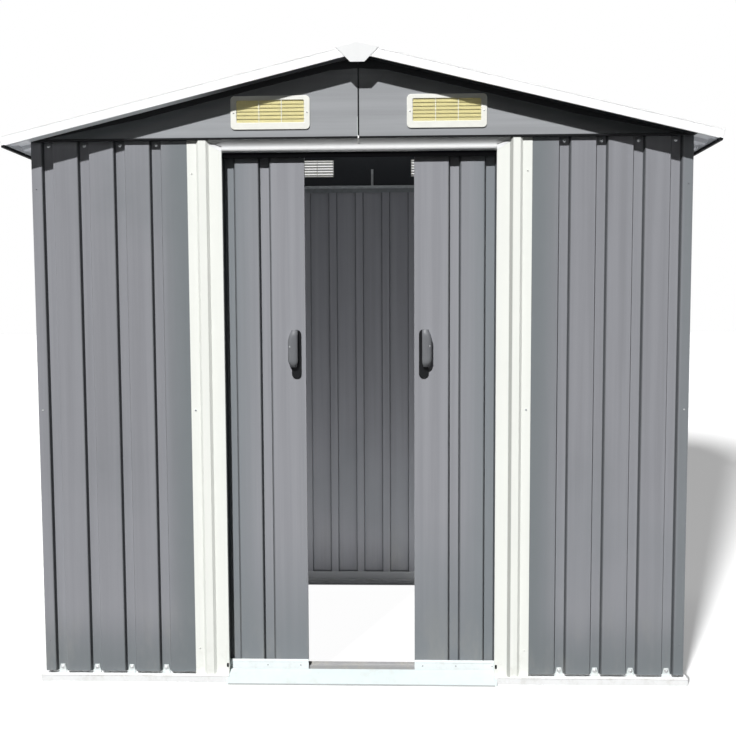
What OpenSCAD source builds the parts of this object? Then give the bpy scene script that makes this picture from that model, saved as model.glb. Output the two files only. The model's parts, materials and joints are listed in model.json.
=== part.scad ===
// Metal storage shed with a gable roof and two sliding doors.
// Millimetres. X runs to the right seen from the doors, Y from the doors to the back wall, Z up.
// The origin is on the ground at the centre of the shed. Both doors stand half open.

/* [Overall size] */
// Outside width over the side walls
shed_w = 1900; // [1700:1:2400]
// Outside depth over the front and back walls
shed_d = 1200; // [900:1:2000]
// Height of the walls above the ground
wall_top = 1600; // [1330:1:1950]
// Slope of the roof in degrees
roof_angle = 13.6; // [10:0.1:20]
// Overhang of the roof past the side walls
eave_overhang = 70; // [40:1:110]
// Overhang of the roof past the front and back walls
gable_overhang = 60; // [45:1:110]
// Room between the top of the walls and the lowest ribs of the roof
roof_gap = 4; // [2:0.5:12]

/* [Ribbed sheet] */
// Thickness of the wall and roof sheets
sheet_t = 1.2; // [0.8:0.1:2]
// Distance from rib to rib
rib_pitch = 105; // [80:1:140]
// Width of a rib at its mouth
rib_w = 33.5; // [24:0.5:44]
// Depth of a rib
rib_depth = 11; // [6:0.1:14]
// Sideways run of each slanted side of a rib
rib_slant = 4; // [2:0.5:7]
// Flat between the last front rib and the corner
corner_flat = 31; // [20:1:50]
// Fold of the front and back sheets round the corner
corner_return = 30; // [15:1:40]
// From the corner to the centre of the last rib on the back wall
back_rib_inset = 57.5; // [50:0.5:90]
// From the corner to the centre of the last rib on the side walls
side_rib_inset = 70; // [60:1:130]
// From the wall line to the centre of the last roof rib
roof_rib_inset = 22.5; // [20:0.5:60]

/* [Base] */
// Thickness of the folded rails and tracks
rail_t = 1.2; // [1:0.1:2]
// How far the base rails stand out in front of the walls
rail_out = 12; // [6:0.5:20]
// Height of the ledge of the base rails
rail_ledge = 20; // [14:1:24]
// Height of the upstand that the walls are screwed to
rail_up = 50; // [35:1:70]
// Reach of the floor flange, from the wall face inwards
rail_in = 40; // [32:1:60]
// Lower edge of the wall sheets above the ground
sheet_bottom = 28; // [24:1:34]
// Radius of the anchor holes in the side rails
anchor_r = 4.25; // [3:0.25:6]
// Distance between the anchor holes from front to back
anchor_pitch = 900; // [500:10:1000]

/* [Doorway] */
// Half the clear width between the jambs
jamb_in = 396.3; // [330:0.1:480]
// Width of a jamb trim
jamb_w = 99.3; // [80:0.1:120]
// Width of the raised rib of a jamb at its foot
jamb_rib_w = 36.6; // [26:0.1:44]
// Width of the raised rib of a jamb at its top
jamb_rib_top_w = 21.3; // [14:0.1:24]
// Height of the raised rib of a jamb
jamb_rib_h = 7; // [3:0.5:7]
// Distance from the inner edge of a jamb to its rib
jamb_rib_inset = 36; // [26:0.5:44]
// How far the front sheets run in behind the jambs
jamb_lap = 70; // [40:1:85]
// Height of the header above the doorway
header_h = 34; // [28:1:44]
// Depth of the front-to-back run of the threshold ramp
ramp_run = 46; // [36:1:60]
// Height of the threshold ramp
ramp_rise = 34; // [26:1:36]
// Back of the ramp behind the wall face
ramp_back = 14; // [13:0.1:18]

/* [Doors] */
// Width of a door
door_w = 440; // [360:1:530]
// Half the gap between the doors where they stand
door_rest = 159; // [100:1:190]
// Running room in front of a door and behind its bottom strip
door_gap = 5.6; // [5.1:0.1:8]
// From the edge of a door to the centre of its last rib
door_rib_inset = 116.75; // [90:0.25:140]
// Running room below a door and above it
door_room = 5.3; // [5:0.1:7]
// Height of the bottom strip of a door
strip_h = 22; // [16:1:30]
// Height of the top rail of a door
door_rail_h = 30; // [20:1:40]
// Length of a hanger and of a guide shoe along the door
glide_w = 36; // [24:1:60]
// From the edge of a door to the centre of a hanger or shoe
glide_inset = 45; // [30:1:100]

/* [Tracks] */
// Height of the bottom track
track_h = 39.7; // [36:0.1:46]
// Depth of the bottom track from front to back
track_d = 40.4; // [32:0.1:60]
// Height of the guide rib on the bottom track
track_rib_h = 8; // [5:0.5:12]
// Height of the top track
top_track_h = 16; // [14:0.5:20]
// Room behind the hangers in the top track
top_track_room = 5.6; // [5.1:0.1:12]
// Width of the slot in the top track
slot_w = 22; // [20:0.5:24]
// Leg of the top channels
channel_leg = 25; // [18:1:36]

/* [Handles] */
// Width of the back plate
plate_w = 31.2; // [26:0.1:36]
// Height of the back plate
plate_h = 144; // [120:1:180]
// Thickness of the back plate
plate_t = 4; // [3:0.5:6]
// Lower end of the back plate above the ground
plate_z = 905; // [700:5:1100]
// From the edge of the door to the edge of the back plate
plate_inset = 15; // [10:0.5:24]
// Width of the grip
grip_w = 26.7; // [22:0.1:30]
// Height of the grip
grip_h = 107; // [90:1:130]
// Depth of the grip in front of the back plate
grip_d = 17; // [12:0.5:17.5]
// Wall of the grip
grip_wall = 3; // [2:0.5:4]

/* [Vents] */
// From the centre line to the centre of a vent
vent_x = 252; // [190:1:310]
// From the top of the walls to the centre of a vent
vent_up = 68; // [57:1:84]
// Width of a vent frame
vent_w = 227.5; // [160:0.5:280]
// Height of a vent frame
vent_h = 95; // [78:0.5:114]
// Border of a vent frame on either side of its louvres
vent_side = 17; // [12:0.5:30]
// Border of a vent frame above its louvres
vent_above = 12.5; // [10:0.5:16]
// Border of a vent frame below its louvres
vent_below = 20; // [12:0.5:24]
// Number of slats
slats = 6; // [4:1:7]
// Thickness of a vent frame
vent_t = 3; // [2:0.5:5]

/* [Roof trims] */
// Height of the fascias and eave trims
fascia_h = 26; // [20:1:40]
// Width of their top flange
fascia_flange = 20; // [12:1:24]
// Width of their bottom return
fascia_return = 8; // [5:1:12]
// Half width of the ridge cap
ridge_cap_half = 70; // [62:1:110]
// Half width of the lower edge of the ridge end caps
end_cap_half = 20; // [12:1:30]
// Drop of the ridge end caps below the top of the roof
end_cap_drop = 51; // [40:1:56]
// Half width of the ridge beam
beam_half = 25; // [15:1:35]
// Height of the ridge beam
beam_h = 30; // [20:1:40]

/* [Hidden] */

// Seat gap between pieces that rest on each other on a slant or end to end
seat = 0.3;
// Allowance by which a cutting shape passes the face it cuts
past = 1;
// Largest size of a cutting block
far = 4000;

half_w = shed_w / 2;
half_d = shed_d / 2;
// Depth of a ribbed sheet over its ribs
sheet_d = rib_depth + sheet_t;
// Sideways shift of a rib's inner corners that keeps the sheet's thickness
rib_shift = sheet_t * tan(atan(rib_depth / rib_slant) / 2);

// Face of the doors behind the wall face: their bottom strips run just behind the ramp
door_set = ramp_back + rail_t + door_gap + rail_t;
door_back = door_set + sheet_d;
// The bottom track starts just behind the strips
track_front = door_set + door_gap;
track_back = track_front + track_d;
// Depth of a guide shoe, with the rib of the track in its middle
shoe_d = 20;
track_rib_at = door_back + (shoe_d - rail_t) / 2;

grey = [0.57, 0.58, 0.6];
white = [0.95, 0.96, 0.95];
galvanised = [0.72, 0.74, 0.75];
cream = [0.9, 0.86, 0.62];
black = [0.12, 0.12, 0.13];
$fn = 48;

// Height of the roof sheet's top face at a distance x from the centre line
function roof_z(x) = wall_top + roof_gap + sheet_d / cos(roof_angle) + (half_w - x) * tan(roof_angle);
// Height of the underside of the flats and of the ribs of the roof
function roof_flat_under(x) = roof_z(x) - sheet_t / cos(roof_angle);
function roof_rib_under(x) = roof_z(x) - sheet_d / cos(roof_angle);

// Places spread evenly from -half to half, as near the rib pitch as they go
function spread(half) = let (n = max(1, round(2 * half / rib_pitch)))
    [for (i = [0 : n]) -half + i * 2 * half / n];
function joined(lists) = [for (part = lists) for (item = part) item];
function reversed(list) = [for (i = [len(list) - 1 : -1 : 0]) list[i]];

// Outer and inner corners of one rib at c: x along the sheet, y inwards
function rib_outer(c) = [
    [c - rib_w / 2, 0],
    [c - rib_w / 2 + rib_slant, rib_depth],
    [c + rib_w / 2 - rib_slant, rib_depth],
    [c + rib_w / 2, 0],
];
function rib_inner(c) = [
    [c + rib_w / 2 + rib_shift, sheet_t],
    [c + rib_w / 2 - rib_slant + rib_shift, sheet_d],
    [c - rib_w / 2 + rib_slant - rib_shift, sheet_d],
    [c - rib_w / 2 - rib_shift, sheet_t],
];
// The two ends of a sheet: a plain edge, or a fold of the given length
function end_high(x, fold) = fold > 0
    ? [[x, 0], [x, fold], [x - sheet_t, fold], [x - sheet_t, sheet_t]]
    : [[x, 0], [x, sheet_t]];
function end_low(x, fold) = fold > 0
    ? [[x + sheet_t, sheet_t], [x + sheet_t, fold], [x, fold], [x, 0]]
    : [[x, sheet_t], [x, 0]];
function sheet_outline(x0, x1, ribs, fold0 = 0, fold1 = 0) = concat(
    joined([for (c = ribs) rib_outer(c)]),
    end_high(x1, fold1),
    joined([for (c = reversed(ribs)) rib_inner(c)]),
    end_low(x0, fold0)
);

module mirrored_x(on = true) {
    mirror([on ? 1 : 0, 0, 0]) children();
}

module mirrored_y(on = true) {
    mirror([0, on ? 1 : 0, 0]) children();
}

// An outline in X and Z, pushed from y0 to y1
module push_y(y0, y1) {
    translate([0, y1, 0])
        rotate([90, 0, 0])
            linear_extrude(height = y1 - y0)
                children();
}

// An outline in Y and Z, pushed from x0 to x1
module push_x(x0, x1) {
    translate([x0, 0, 0])
        rotate([90, 0, 90])
            linear_extrude(height = x1 - x0)
                children();
}

// A block given by its low and high corners
module block(low, high) {
    translate(low) cube(high - low);
}

// ---- Base ----

// Section of a base rail: u inwards from the wall face, v up; ribs touch it at rib_back
module rail_section(rib_back) {
    polygon([
        [-rail_out, 0],
        [rail_in, 0],
        [rail_in, rail_t],
        [-rail_out + rail_t, rail_t],
        [-rail_out + rail_t, rail_ledge - rail_t],
        [rib_back + rail_t, rail_ledge - rail_t],
        [rib_back + rail_t, rail_up],
        [rib_back, rail_up],
        [rib_back, rail_ledge],
        [-rail_out, rail_ledge],
    ]);
}

// Plan of a rail between 45 degree mitres: x along it, y inwards from its outer edge
module mitre_plan(length, short) {
    depth = rail_out + rail_in + past;
    polygon([
        [-length / 2 + short, 0],
        [length / 2 - short, 0],
        [length / 2 - short - depth, depth],
        [-length / 2 + short + depth, depth],
    ]);
}

module long_rail() {
    intersection() {
        translate([0, -half_d, 0])
            push_x(-half_w - rail_out, half_w + rail_out)
                rail_section(sheet_d);
        translate([0, -half_d - rail_out, 0])
            linear_extrude(height = rail_up + past)
                mitre_plan(shed_w + 2 * rail_out, 0);
    }
}

module base_rail_front() {
    color(white)
        difference() {
            long_rail();
            block([-jamb_in, -half_d - rail_out - past, rail_t],
                  [jamb_in, -half_d + rail_in + past, rail_up + past]);
            block([-jamb_in, -half_d - rail_out - past, -past],
                  [jamb_in, -half_d + ramp_back + rail_t + seat, rail_up + past]);
        }
}

module base_rail_back() {
    color(white) mirrored_y() long_rail();
}

// Anchor holes lie in the middle of the flange inside the upstand
anchor_x = half_w - (rail_in + sheet_t + sheet_d + rail_t) / 2;

module base_rail_right() {
    color(white)
        difference() {
            intersection() {
                translate([half_w, 0, 0])
                    mirrored_x()
                        push_y(-half_d - rail_out, half_d + rail_out)
                            rail_section(sheet_t + sheet_d);
                translate([half_w + rail_out, 0, 0])
                    rotate([0, 0, 90])
                        linear_extrude(height = rail_up + past)
                            mitre_plan(shed_d + 2 * rail_out, seat);
            }
            for (side = [-1, 1])
                translate([anchor_x, side * anchor_pitch / 2, -past])
                    cylinder(r = anchor_r, h = rail_t + 2 * past);
        }
}
module base_rail_left() {
    mirrored_x() base_rail_right();
}

module door_bottom_track() {
    color(galvanised)
        translate([0, -half_d, 0])
            push_x(-half_w + rail_in + seat, half_w - rail_in - seat)
                polygon([
                    [track_front, rail_t],
                    [track_front, track_h],
                    [track_rib_at, track_h],
                    [track_rib_at, track_h + track_rib_h],
                    [track_rib_at + rail_t, track_h + track_rib_h],
                    [track_rib_at + rail_t, track_h],
                    [track_back, track_h],
                    [track_back, 0],
                    [track_back - rail_t, 0],
                    [track_back - rail_t, track_h - rail_t],
                    [track_front + rail_t, track_h - rail_t],
                    [track_front + rail_t, rail_t],
                ]);
}

module threshold_ramp() {
    tilt = atan(ramp_rise / ramp_run);
    color(white)
        translate([0, -half_d, 0])
            push_x(-jamb_in + rail_t + seat, jamb_in - rail_t - seat)
                polygon([
                    [ramp_back - ramp_run, 0],
                    [ramp_back, ramp_rise],
                    [ramp_back + rail_t, ramp_rise],
                    [ramp_back + rail_t, 0],
                    [ramp_back, 0],
                    [ramp_back, ramp_rise - rail_t / cos(tilt)],
                    [ramp_back - ramp_run + rail_t / sin(tilt), 0],
                ]);
}

// ---- Walls ----

front_edge = jamb_in + jamb_w - jamb_lap;
front_rib_count = floor((half_w - corner_flat - rib_w - jamb_in - jamb_w) / rib_pitch) + 1;
front_ribs = reversed([for (i = [0 : front_rib_count - 1])
    half_w - corner_flat - rib_w / 2 - i * rib_pitch]);

module front_wall_right() {
    color(grey)
        translate([0, -half_d, sheet_bottom])
            linear_extrude(height = wall_top - sheet_bottom)
                polygon(sheet_outline(front_edge, half_w, front_ribs, 0, corner_return));
}

module front_wall_left() {
    mirrored_x() front_wall_right();
}

module back_wall() {
    color(grey)
        mirrored_y()
            translate([0, -half_d, sheet_bottom])
                linear_extrude(height = wall_top - sheet_bottom)
                    polygon(sheet_outline(-half_w, half_w, spread(half_w - back_rib_inset),
                                          corner_return, corner_return));
}

// A side wall lies inside the folds of the front and back sheets
module right_wall() {
    edge = half_d - sheet_t - seat;
    color(grey)
        translate([half_w - sheet_t, 0, sheet_bottom])
            rotate([0, 0, 90])
                linear_extrude(height = wall_top - sheet_bottom)
                    polygon(sheet_outline(-edge, edge, spread(half_d - side_rib_inset)));
}

module left_wall() {
    mirrored_x() right_wall();
}

module door_jamb_right() {
    rib_mid = jamb_in + jamb_rib_inset + jamb_rib_w / 2;
    slant = (jamb_rib_w - jamb_rib_top_w) / 2;
    shift = rail_t * tan(atan(jamb_rib_h / slant) / 2);
    color(white)
        translate([0, -half_d - rail_t, rail_ledge + seat])
            linear_extrude(height = wall_top - rail_ledge - 2 * seat)
                polygon([
                    [jamb_in - rail_t, 0],
                    [rib_mid - jamb_rib_w / 2, 0],
                    [rib_mid - jamb_rib_top_w / 2, -jamb_rib_h],
                    [rib_mid + jamb_rib_top_w / 2, -jamb_rib_h],
                    [rib_mid + jamb_rib_w / 2, 0],
                    [jamb_in + jamb_w, 0],
                    [jamb_in + jamb_w, rail_t],
                    [rib_mid + jamb_rib_w / 2 - shift, rail_t],
                    [rib_mid + jamb_rib_top_w / 2 - shift, rail_t - jamb_rib_h],
                    [rib_mid - jamb_rib_top_w / 2 + shift, rail_t - jamb_rib_h],
                    [rib_mid - jamb_rib_w / 2 + shift, rail_t],
                    [jamb_in, rail_t],
                    [jamb_in, rail_t + sheet_d - seat],
                    [jamb_in - rail_t, rail_t + sheet_d - seat],
                ]);
}

module door_jamb_left() {
    mirrored_x() door_jamb_right();
}

// The header is a channel that lies against the front of the top track
module door_header() {
    reach = jamb_in - rail_t - seat;
    color(white)
        translate([0, -half_d, wall_top - header_h])
            push_x(-reach, reach)
                polygon([
                    [-rail_t, 0],
                    [sheet_d, 0],
                    [sheet_d, rail_t],
                    [0, rail_t],
                    [0, header_h - rail_t],
                    [sheet_d, header_h - rail_t],
                    [sheet_d, header_h],
                    [-rail_t, header_h],
                ]);
}

// Thickness of a hanger's neck
neck_t = 6;
// Middle of the slot in the top track, in line with the necks of the hangers
slot_mid = door_back + rail_t + neck_t / 2;
// Width of a hanger's head, which laps over the lips of the track on either side
head_lap = 6;
head_w = slot_w + 2 * head_lap;
top_track_back = slot_mid + head_w / 2 + top_track_room + rail_t;

module door_top_track() {
    front = sheet_d;
    back = top_track_back;
    color(galvanised)
        translate([0, -half_d, wall_top - top_track_h])
            push_x(-half_w + sheet_t + sheet_d + seat, half_w - sheet_t - sheet_d - seat)
                polygon([
                    [front, 0],
                    [front, top_track_h],
                    [back, top_track_h],
                    [back, 0],
                    [slot_mid + slot_w / 2, 0],
                    [slot_mid + slot_w / 2, rail_t],
                    [back - rail_t, rail_t],
                    [back - rail_t, top_track_h - rail_t],
                    [front + rail_t, top_track_h - rail_t],
                    [front + rail_t, rail_t],
                    [slot_mid - slot_w / 2, rail_t],
                    [slot_mid - slot_w / 2, 0],
                ]);
}

// Section of a top channel: one leg down the wall, the other inwards
module channel_section(top) {
    polygon([
        [0, wall_top - channel_leg],
        [0, top],
        [channel_leg, top],
        [channel_leg, top - rail_t],
        [rail_t, top - rail_t],
        [rail_t, wall_top - channel_leg],
    ]);
}

module top_channel_back() {
    reach = half_w - sheet_t - sheet_d - seat;
    color(galvanised)
        mirrored_y()
            translate([0, -half_d + sheet_d, 0])
                push_x(-reach, reach)
                    channel_section(wall_top);
}

// The side channels reach up to the ribs of the roof
module top_channel_right() {
    face = half_w - sheet_t - sheet_d;
    color(galvanised)
        translate([face, 0, 0])
            mirrored_x()
                push_y(-half_d + top_track_back + seat, half_d - sheet_d - channel_leg - seat)
                    channel_section(roof_rib_under(face) - seat);
}

module top_channel_left() {
    mirrored_x() top_channel_right();
}

// ---- Gables and vents ----

// Face of the gable sheets in front of the wall face
gable_out = 8;
// Gap in the seam between two gable sheets, and in their bottom lips
seam = 1;
lip_gap = 4;
// Half width of the strip behind the seam
seam_strip = 18;
// Room round a vent's collar
collar_room = 0.4;
// Wall and depth of a vent's collar
collar_t = 1.6;
collar_d = 8;
vent_r = 12;
// Size of the louvred opening, and how far it sits above the middle of the frame
louvre_w = vent_w - 2 * vent_side;
louvre_h = vent_h - vent_above - vent_below;
louvre_lift = (vent_below - vent_above) / 2;

module at_vent() {
    translate([vent_x, wall_top + vent_up]) children();
}

module rounded(w, h, r) {
    union() {
        square([w - 2 * r, h], center = true);
        square([w, h - 2 * r], center = true);
        for (sx = [-1, 1], sy = [-1, 1])
            translate([sx * (w / 2 - r), sy * (h / 2 - r)]) circle(r = r);
    }
}

// Right half of the front gable; the strip behind the seam belongs to the left one
module gable_half(with_strip) {
    difference() {
        push_y(-half_d - gable_out, -half_d - gable_out + sheet_t)
            difference() {
                polygon([
                    [seam / 2, wall_top],
                    [half_w, wall_top],
                    [half_w, roof_flat_under(half_w) - seat],
                    [seam / 2, roof_flat_under(seam / 2) - seat],
                ]);
                at_vent()
                    translate([0, louvre_lift])
                        square([louvre_w + 2 * collar_t + 2 * collar_room,
                                louvre_h + 2 * collar_t + 2 * collar_room], center = true);
            }
        block([-past, -half_d - gable_out - past, wall_top - past],
              [lip_gap / 2, -half_d, wall_top + sheet_t]);
    }
    block([lip_gap / 2, -half_d - gable_out + sheet_t, wall_top],
          [half_w, -half_d + sheet_d - seat, wall_top + sheet_t]);
    if (with_strip)
        push_y(-half_d - gable_out + sheet_t, -half_d - gable_out + 2 * sheet_t)
            polygon([
                [-seam_strip, wall_top + sheet_t + past],
                [seam_strip, wall_top + sheet_t + past],
                [seam_strip, roof_flat_under(seam_strip) - seat],
                [-seam_strip, roof_flat_under(seam_strip) - seat],
            ]);
}

module gable_front_right() {
    color(grey) gable_half(false);
}

module gable_front_left() {
    color(grey) mirrored_x() gable_half(true);
}

module gable_back_right() {
    color(grey) mirrored_y() gable_half(false);
}

module gable_back_left() {
    color(grey) mirrored_x() mirrored_y() gable_half(true);
}

module vent() {
    face = -half_d - gable_out;
    slat_pitch = louvre_h / slats;
    slat_depth = 9;
    slat_t = 1.2;
    slat_tilt = 35;
    mullion = 2.4;
    collar_w = louvre_w + 2 * collar_t;
    collar_h = louvre_h + 2 * collar_t;
    color(white) {
        push_y(face - vent_t, face)
            at_vent()
                difference() {
                    rounded(vent_w, vent_h, vent_r);
                    translate([0, louvre_lift]) square([louvre_w, louvre_h], center = true);
                }
        push_y(face - past, face + collar_d)
            at_vent()
                translate([0, louvre_lift])
                    difference() {
                        square([collar_w, collar_h], center = true);
                        square([louvre_w, louvre_h], center = true);
                    }
    }
    color(cream)
        translate([vent_x, face, wall_top + vent_up + louvre_lift]) {
            for (i = [0 : slats - 1])
                translate([0, collar_d / 2 - vent_t / 2, (i + 0.5) * slat_pitch - louvre_h / 2])
                    rotate([slat_tilt, 0, 0])
                        cube([louvre_w + collar_t, slat_depth, slat_t], center = true);
            for (side = [-1, 1])
                translate([side * louvre_w / 6, collar_d / 2 - vent_t / 2, 0])
                    cube([mullion, slat_depth / 2, louvre_h + collar_t], center = true);
        }
}

module vent_front_right() {
    vent();
}

module vent_front_left() {
    mirrored_x() vent();
}

module vent_back_right() {
    mirrored_y() vent();
}

module vent_back_left() {
    mirrored_x() mirrored_y() vent();
}

// ---- Roof ----

// Length of the slope from the ridge to the eave
slope_len = (half_w + eave_overhang) / cos(roof_angle);
// The roof sheets stop this far from the centre line
ridge_half_gap = 5;
roof_half_d = half_d + gable_overhang;

// Lays an outline with y along the shed and z square to the roof on the right slope,
// and pushes it down the slope from w0 to w1
module down_slope(w0, w1) {
    translate([0, 0, roof_z(0)])
        rotate([0, roof_angle, 0])
            push_x(w0, w1)
                children();
}

// Lays an outline with x down the slope and z square to it, and pushes it from front to back
module along_eave(y0, y1) {
    translate([0, 0, roof_z(0)])
        rotate([0, roof_angle, 0])
            push_y(y0, y1)
                children();
}

module roof_right() {
    edge = roof_half_d - seat;
    color(grey)
        down_slope(ridge_half_gap / cos(roof_angle), slope_len - rail_t - seat)
            mirror([0, 1])
                polygon(sheet_outline(-edge, edge, spread(half_d - roof_rib_inset)));
}

module roof_left() {
    mirrored_x() roof_right();
}

// An edge trim's section: flange on top, web down the edge, return below
module trim_section(edge) {
    low = seat + rail_t - fascia_h;
    polygon([
        [edge, seat + rail_t],
        [edge + fascia_flange + rail_t, seat + rail_t],
        [edge + fascia_flange + rail_t, seat],
        [edge + rail_t, seat],
        [edge + rail_t, low + rail_t],
        [edge + rail_t + fascia_return, low + rail_t],
        [edge + rail_t + fascia_return, low],
        [edge, low],
    ]);
}

module fascia_front_right() {
    color(white)
        intersection() {
            down_slope(-fascia_h, slope_len - rail_t - seat)
                trim_section(-roof_half_d - rail_t);
            block([seat / 2, -far, 0], [far, far, far]);
        }
}

module fascia_front_left() {
    mirrored_x() fascia_front_right();
}

module fascia_back_right() {
    mirrored_y() fascia_front_right();
}

module fascia_back_left() {
    mirrored_x() mirrored_y() fascia_front_right();
}

// The flange of an eave trim stops short of the fascias, its web covers their ends
module eave_trim_right() {
    low = seat + rail_t - fascia_h;
    flange_end = roof_half_d - fascia_flange - seat;
    color(white) {
        along_eave(-roof_half_d - rail_t, roof_half_d + rail_t)
            translate([slope_len - rail_t, low]) square([rail_t, fascia_h]);
        along_eave(-flange_end, flange_end)
            translate([slope_len - rail_t - fascia_flange, seat])
                square([fascia_flange + rail_t / 2, rail_t]);
        along_eave(-roof_half_d + fascia_return + seat, roof_half_d - fascia_return - seat)
            translate([slope_len - rail_t - fascia_return, low])
                square([fascia_return + rail_t / 2, rail_t]);
    }
}

module eave_trim_left() {
    mirrored_x() eave_trim_right();
}

// A roof-shaped strip between two heights over the roof, out to x = reach
module ridge_strip(reach, low, high) {
    polygon([
        [-reach, roof_z(reach) + low],
        [0, roof_z(0) + low],
        [reach, roof_z(reach) + low],
        [reach, roof_z(reach) + high],
        [0, roof_z(0) + high],
        [-reach, roof_z(reach) + high],
    ]);
}

trim_t = rail_t / cos(roof_angle);
trim_seat = seat / cos(roof_angle);

module ridge_cap() {
    reach = roof_half_d - fascia_flange - seat;
    color(white)
        push_y(-reach, reach)
            ridge_strip(ridge_cap_half, trim_seat, trim_seat + trim_t);
}

module ridge_end_cap() {
    low = 2 * trim_seat + trim_t;
    high = low + trim_t;
    front = -roof_half_d - rail_t - seat;
    hood = 38;
    corner = (high + end_cap_drop + end_cap_half) / (1 + tan(roof_angle));
    push_y(front - rail_t, front)
        polygon([
            [-end_cap_half, roof_z(0) - end_cap_drop],
            [end_cap_half, roof_z(0) - end_cap_drop],
            [corner, roof_z(corner) + high],
            [0, roof_z(0) + high],
            [-corner, roof_z(corner) + high],
        ]);
    push_y(front - rail_t / 2, front + hood)
        ridge_strip(corner - rail_t, low, high);
}

module ridge_end_caps() {
    color(white) {
        ridge_end_cap();
        mirrored_y() ridge_end_cap();
    }
}

module ridge_beam() {
    reach = half_d + gable_out - 2 * sheet_t - seat;
    top = roof_rib_under(beam_half) - seat;
    color(galvanised)
        push_y(-reach, reach)
            difference() {
                translate([-beam_half, top - beam_h]) square([2 * beam_half, beam_h]);
                translate([-beam_half + rail_t, top - beam_h + rail_t])
                    square([2 * beam_half - 2 * rail_t, beam_h]);
            }
}

// ---- Doors ----

door_bottom = track_h + door_room;
// Underside of the lips of the top track
slot_z = wall_top - top_track_h;
door_top = slot_z - door_room;
door_ribs = [for (c = spread(door_w / 2 - door_rib_inset)) door_rest + door_w / 2 + c];
// The bottom strip shows this much of its height below the sheet
strip_drop = 13;
glide_places = [door_rest + glide_inset, door_rest + door_w - glide_inset];

module right_panel() {
    color(grey)
        translate([0, -half_d + door_set, door_bottom])
            linear_extrude(height = door_top - door_bottom)
                polygon(sheet_outline(door_rest, door_rest + door_w, door_ribs,
                                      sheet_d, sheet_d));
}

// The strip along the bottom, and the angle behind the top edge
module right_rails() {
    color(white) {
        block([door_rest, -half_d + door_set - rail_t, door_bottom - strip_drop],
              [door_rest + door_w, -half_d + door_set, door_bottom - strip_drop + strip_h]);
        translate([0, -half_d + door_back, door_top])
            push_x(door_rest, door_rest + door_w)
                polygon([
                    [0, -door_rail_h],
                    [0, 0],
                    [rail_t + 2 * neck_t, 0],
                    [rail_t + 2 * neck_t, -rail_t],
                    [rail_t, -rail_t],
                    [rail_t, -door_rail_h],
                ]);
    }
}

// A hanger: a neck up through the slot, and a head that rides on the lips of the track
module hanger(x) {
    head_t = 9;
    head_z = slot_z + rail_t + seat;
    translate([x - glide_w / 2, -half_d + slot_mid, 0]) {
        block([0, -neck_t / 2, door_top + seat], [glide_w, neck_t / 2, head_z + past]);
        block([0, -head_w / 2, head_z], [glide_w, head_w / 2, head_z + head_t]);
    }
}

// A guide shoe behind the lower edge, slotted over the rib of the bottom track
module shoe(x) {
    room = 1.5;
    height = 32;
    difference() {
        block([x - glide_w / 2, -half_d + door_back, track_h + 2 * seat],
              [x + glide_w / 2, -half_d + door_back + shoe_d, track_h + 2 * seat + height]);
        block([x - glide_w, -half_d + track_rib_at - room, track_h - past],
              [x + glide_w, -half_d + track_rib_at + rail_t + room, track_h + track_rib_h + room]);
    }
}

module right_glides() {
    color(black)
        for (x = glide_places) {
            hanger(x);
            shoe(x);
        }
}

plate_x = door_rest + plate_inset;
// The grip starts this far from the inner edge of the back plate
grip_shift = 13;
grip_z = plate_z + plate_h - grip_h;
// Shape of the grip's corners
grip_top_cut = 24;
grip_top_flat = 7;
grip_low_cut = 15.5;
grip_low_step = 6;
grip_low_at = 0.63;

// Outline of the grip, drawn in by the given amount; the side towards the gap stays open
module grip_outline(inset) {
    polygon([
        [inset > 0 ? -past : 0, inset],
        [grip_low_at * grip_w - inset / 2, grip_low_step + inset],
        [grip_w - inset, grip_low_cut + inset / 2],
        [grip_w - inset, grip_h - grip_top_cut - inset / 2],
        [grip_top_flat, grip_h - inset],
        [inset > 0 ? -past : 0, grip_h - inset],
    ]);
}

module right_handle() {
    face = -half_d + door_set;
    color(black)
        difference() {
            union() {
                push_y(face - plate_t, face) {
                    translate([plate_x, plate_z + plate_w / 2])
                        square([plate_w, plate_h - plate_w]);
                    for (z = [plate_z + plate_w / 2, plate_z + plate_h - plate_w / 2])
                        translate([plate_x + plate_w / 2, z]) circle(r = plate_w / 2);
                }
                push_y(face - plate_t - grip_d, face - plate_t / 2)
                    translate([plate_x + grip_shift, grip_z]) grip_outline(0);
            }
            push_y(face - plate_t - grip_d + grip_wall, face - plate_t)
                translate([plate_x + grip_shift, grip_z]) grip_outline(grip_wall);
        }
}

base_rail_front();
base_rail_back();
base_rail_left();
base_rail_right();
door_bottom_track();
threshold_ramp();
front_wall_left();
front_wall_right();
left_wall();
right_wall();
back_wall();
door_jamb_left();
door_jamb_right();
door_header();
door_top_track();
top_channel_left();
top_channel_right();
top_channel_back();
gable_front_left();
gable_front_right();
gable_back_left();
gable_back_right();
vent_front_left();
vent_front_right();
vent_back_left();
vent_back_right();
roof_left();
roof_right();
ridge_beam();
ridge_cap();
ridge_end_caps();
fascia_front_left();
fascia_front_right();
fascia_back_left();
fascia_back_right();
eave_trim_left();
eave_trim_right();
mirrored_x() right_panel();  // door_left_panel
mirrored_x() right_rails();  // door_left_rails
mirrored_x() right_glides();  // door_left_glides
mirrored_x() right_handle();  // door_left_handle
right_panel();  // door_right_panel
right_rails();  // door_right_rails
right_glides();  // door_right_glides
right_handle();  // door_right_handle
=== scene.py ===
"""Looks of the metal storage shed: finishes, screws, clips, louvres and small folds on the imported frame.

Lengths are in metres: x to the right as seen from the front, y to the back, z up. Colours are 0 to 255.
"""
import json
import math

import bmesh
import bpy
from mathutils import Matrix, Vector


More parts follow.
